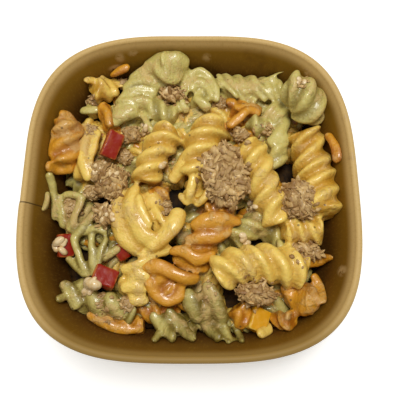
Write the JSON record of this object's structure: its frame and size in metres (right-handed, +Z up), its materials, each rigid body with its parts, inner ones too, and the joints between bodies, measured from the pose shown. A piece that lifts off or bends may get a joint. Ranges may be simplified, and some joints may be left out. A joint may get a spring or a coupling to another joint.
{
  "type": "pasta salad",
  "caption": "Square bowl of brown paper board with a rolled rim, filled with a heap of pasta twists, flaked tuna and diced pepper.",
  "frame": {"origin": "middle of the bowl on the surface that it stands on", "axes": "+Z up, +Y away from the eater, towards the top of the picture, +X to the right"},
  "size_m": [0.1712, 0.1712, 0.06],
  "materials": {
    "board": "brown kraft paper board with a thin clear lining, matt outside and faintly glossy inside",
    "pasta": "cooked pasta in yellow, sage green and orange, wet with dressing",
    "tuna": "flaked cooked tuna, moist and fibrous",
    "red_pepper": "diced red pepper, smooth wet skin and paler cut flesh",
    "yellow_pepper": "diced yellow pepper, smooth wet skin and paler cut flesh"
  },
  "bodies": {
    "root": {"bowl_wall": "board", "bowl_base": "board", "pasta_heap": "pasta", "red_pepper_1": "red_pepper", "red_pepper_2": "red_pepper", "red_pepper_3": "red_pepper", "red_pepper_4": "red_pepper", "yellow_pepper_1": "yellow_pepper", "tuna_lump_1": "tuna", "tuna_lump_2": "tuna", "tuna_lump_3": "tuna", "tuna_lump_4": "tuna", "tuna_lump_5": "tuna", "tuna_lump_6": "tuna", "tuna_lump_7": "tuna"}
  },
  "joints": []
}
